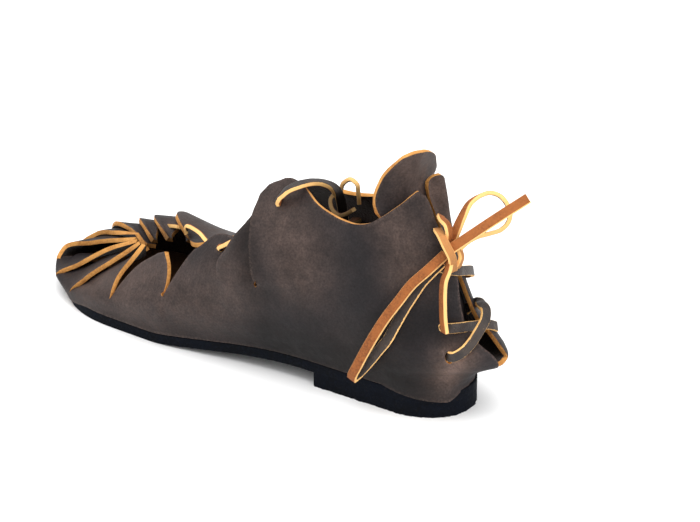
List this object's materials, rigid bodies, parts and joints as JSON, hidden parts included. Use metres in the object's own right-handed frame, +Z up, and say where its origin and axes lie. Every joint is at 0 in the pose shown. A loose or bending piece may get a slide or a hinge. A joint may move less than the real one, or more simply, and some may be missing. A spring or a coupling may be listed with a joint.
{
  "type": "leather sandal",
  "caption": "Left leather sandal with a slit leather upper gathered over the toe, ankle wings and an open back laced with a leather thong, on a thin rubber sole with a low heel.",
  "frame": {"origin": "centre of the heel's resting face, on the floor", "axes": "+X from heel to toe, +Y to the wearer's left (the outer side of this left shoe), +Z up"},
  "size_m": [0.297, 0.09, 0.1348],
  "materials": {
    "rubber": "matte black rubber, finely grained",
    "upper_leather": "oiled dark brown leather with raw tan cut edges",
    "insole_leather": "unfinished tan leather",
    "thong_leather": "flat thong, dark grain on one side and tan flesh on the other"
  },
  "bodies": {
    "root": {"outsole": "rubber", "heel_lift": "rubber", "insole": "insole_leather", "upper": "upper_leather", "heel_flap": "upper_leather", "heel_lacing": "thong_leather", "heel_bar": "thong_leather", "vamp_thong": "thong_leather", "ankle_thong": "thong_leather", "bow_knot": "thong_leather", "bow_loop_lower": "thong_leather", "bow_loop_upper": "thong_leather", "bow_end_upper": "thong_leather", "bow_end_lower": "thong_leather"}
  },
  "joints": []
}
